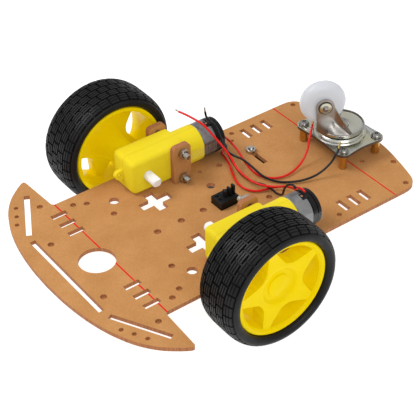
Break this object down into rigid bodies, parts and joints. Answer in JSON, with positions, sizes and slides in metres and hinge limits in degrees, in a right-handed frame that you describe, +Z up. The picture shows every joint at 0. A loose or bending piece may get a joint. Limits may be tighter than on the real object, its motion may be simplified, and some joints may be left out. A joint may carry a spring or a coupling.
{
  "type": "two wheel robot car kit",
  "caption": "Flat kraft-covered chassis plate with two geared motors and tyred wheels, a swivel caster, switch, battery holder and leads, shown motor side up.",
  "frame": {"origin": "centre of the bounding box seen from above, on the surface the two tyres stand on", "axes": "+X towards the right wheel along the drive axle, +Y from the bumper to the caster, +Z up on the motor side"},
  "size_m": [0.1644, 0.204, 0.065],
  "materials": {
    "kraft": "kraft paper on acrylic sheet",
    "gear_case": "satin yellow moulded plastic",
    "wheel_rim": "satin yellow moulded plastic",
    "tyre": "moulded rubber",
    "nylon": "natural nylon",
    "caster_wheel": "translucent nylon",
    "steel": "nickel plated steel",
    "zinc": "yellowish zinc plated pressed steel",
    "brass": "turned brass",
    "can": "plain steel can",
    "black_plastic": "black moulded plastic",
    "strap": "clear plastic band",
    "red_wire": "PVC insulation",
    "black_wire": "PVC insulation"
  },
  "bodies": {
    "chassis": {"chassis_plate": "kraft", "right_gear_case_inner": "gear_case", "right_motor_bracket_inner": "kraft", "right_gear_case_outer": "gear_case", "right_motor_bracket_outer": "kraft", "right_motor_bolt_lower": "steel", "right_motor_nut_lower": "steel", "right_motor_bolt_upper": "steel", "right_motor_nut_upper": "steel", "right_motor_can": "can", "right_motor_end_cap": "black_plastic", "right_motor_strap": "strap", "left_gear_case_inner": "gear_case", "left_motor_bracket_inner": "kraft", "left_gear_case_outer": "gear_case", "left_motor_bracket_outer": "kraft", "left_motor_bolt_lower": "steel", "left_motor_nut_lower": "steel", "left_motor_bolt_upper": "steel", "left_motor_nut_upper": "steel", "left_motor_can": "can", "left_motor_end_cap": "black_plastic", "left_motor_strap": "strap", "caster_standoff_front_right": "brass", "caster_screw_front_right": "steel", "caster_standoff_rear_right": "brass", "caster_screw_rear_right": "steel", "holder_screw_right": "steel", "holder_nut_right": "steel", "caster_standoff_front_left": "brass", "caster_screw_front_left": "steel", "caster_standoff_rear_left": "brass", "caster_screw_rear_left": "steel", "holder_screw_left": "steel", "holder_nut_left": "steel", "caster_top_plate": "zinc", "caster_kingpin": "steel", "switch_body": "black_plastic", "battery_holder": "black_plastic", "left_motor_lead_red": "red_wire", "left_motor_lead_black": "black_wire", "right_motor_lead_red": "red_wire", "right_motor_lead_black": "black_wire", "motor_link_lead_red": "red_wire"},
    "right_wheel": {"right_wheel_rim": "wheel_rim", "right_tyre": "tyre", "right_output_shaft": "nylon"},
    "right_reducer": {"right_reduction_gear": "nylon"},
    "right_crown": {"right_crown_gear": "nylon"},
    "right_rotor": {"right_motor_rotor": "steel"},
    "left_wheel": {"left_wheel_rim": "wheel_rim", "left_tyre": "tyre", "left_output_shaft": "nylon"},
    "left_reducer": {"left_reduction_gear": "nylon"},
    "left_crown": {"left_crown_gear": "nylon"},
    "left_rotor": {"left_motor_rotor": "steel"},
    "caster_swivel": {"caster_fork": "zinc", "caster_axle": "steel"},
    "caster_roller": {"caster_wheel": "caster_wheel"},
    "rocker": {"switch_rocker": "black_plastic"}
  },
  "joints": [
    {"name": "right_wheel_spin", "type": "hinge", "parent": "chassis", "child": "right_wheel", "pos_m": [0.0394, -0.0225, 0.0325], "axis": [1, 0, 0], "continuous": true},
    {"name": "right_reducer_spin", "type": "hinge", "parent": "chassis", "child": "right_reducer", "pos_m": [0.0394, -0.0114, 0.0325], "axis": [1, 0, 0], "continuous": true},
    {"name": "right_crown_spin", "type": "hinge", "parent": "chassis", "child": "right_crown", "pos_m": [0.0394, -0.0029, 0.0325], "axis": [1, 0, 0], "continuous": true},
    {"name": "right_rotor_spin", "type": "hinge", "parent": "chassis", "child": "right_rotor", "pos_m": [0.0394, 0.0175, 0.0325], "axis": [0, 1, 0], "continuous": true},
    {"name": "left_wheel_spin", "type": "hinge", "parent": "chassis", "child": "left_wheel", "pos_m": [-0.0394, -0.0225, 0.0325], "axis": [1, 0, 0], "continuous": true},
    {"name": "left_reducer_spin", "type": "hinge", "parent": "chassis", "child": "left_reducer", "pos_m": [-0.0394, -0.0114, 0.0325], "axis": [1, 0, 0], "continuous": true},
    {"name": "left_crown_spin", "type": "hinge", "parent": "chassis", "child": "left_crown", "pos_m": [-0.0394, -0.0029, 0.0325], "axis": [1, 0, 0], "continuous": true},
    {"name": "left_rotor_spin", "type": "hinge", "parent": "chassis", "child": "left_rotor", "pos_m": [-0.0394, 0.0175, 0.0325], "axis": [0, 1, 0], "continuous": true},
    {"name": "caster_swivel", "type": "hinge", "parent": "chassis", "child": "caster_swivel", "pos_m": [0, 0.0817, 0.0356], "axis": [0, 0, 1], "continuous": true},
    {"name": "caster_roll", "type": "hinge", "parent": "caster_swivel", "child": "caster_roller", "pos_m": [-0.00474, 0.07255, 0.0523], "axis": [0.8879, -0.46, 0], "continuous": true},
    {"name": "rocker_tilt", "type": "hinge", "parent": "chassis", "child": "rocker", "pos_m": [0.0016, 0.00325, 0.0191], "axis": [1, 0, 0], "range_deg": [-10, 10]}
  ],
  "couplings": [
    {"joint": "right_reducer_spin", "follows": "right_wheel_spin", "ratio": -2.5},
    {"joint": "right_crown_spin", "follows": "right_wheel_spin", "ratio": 7.5},
    {"joint": "right_rotor_spin", "follows": "right_wheel_spin", "ratio": -48},
    {"joint": "left_reducer_spin", "follows": "left_wheel_spin", "ratio": -2.5},
    {"joint": "left_crown_spin", "follows": "left_wheel_spin", "ratio": 7.5},
    {"joint": "left_rotor_spin", "follows": "left_wheel_spin", "ratio": 48}
  ]
}
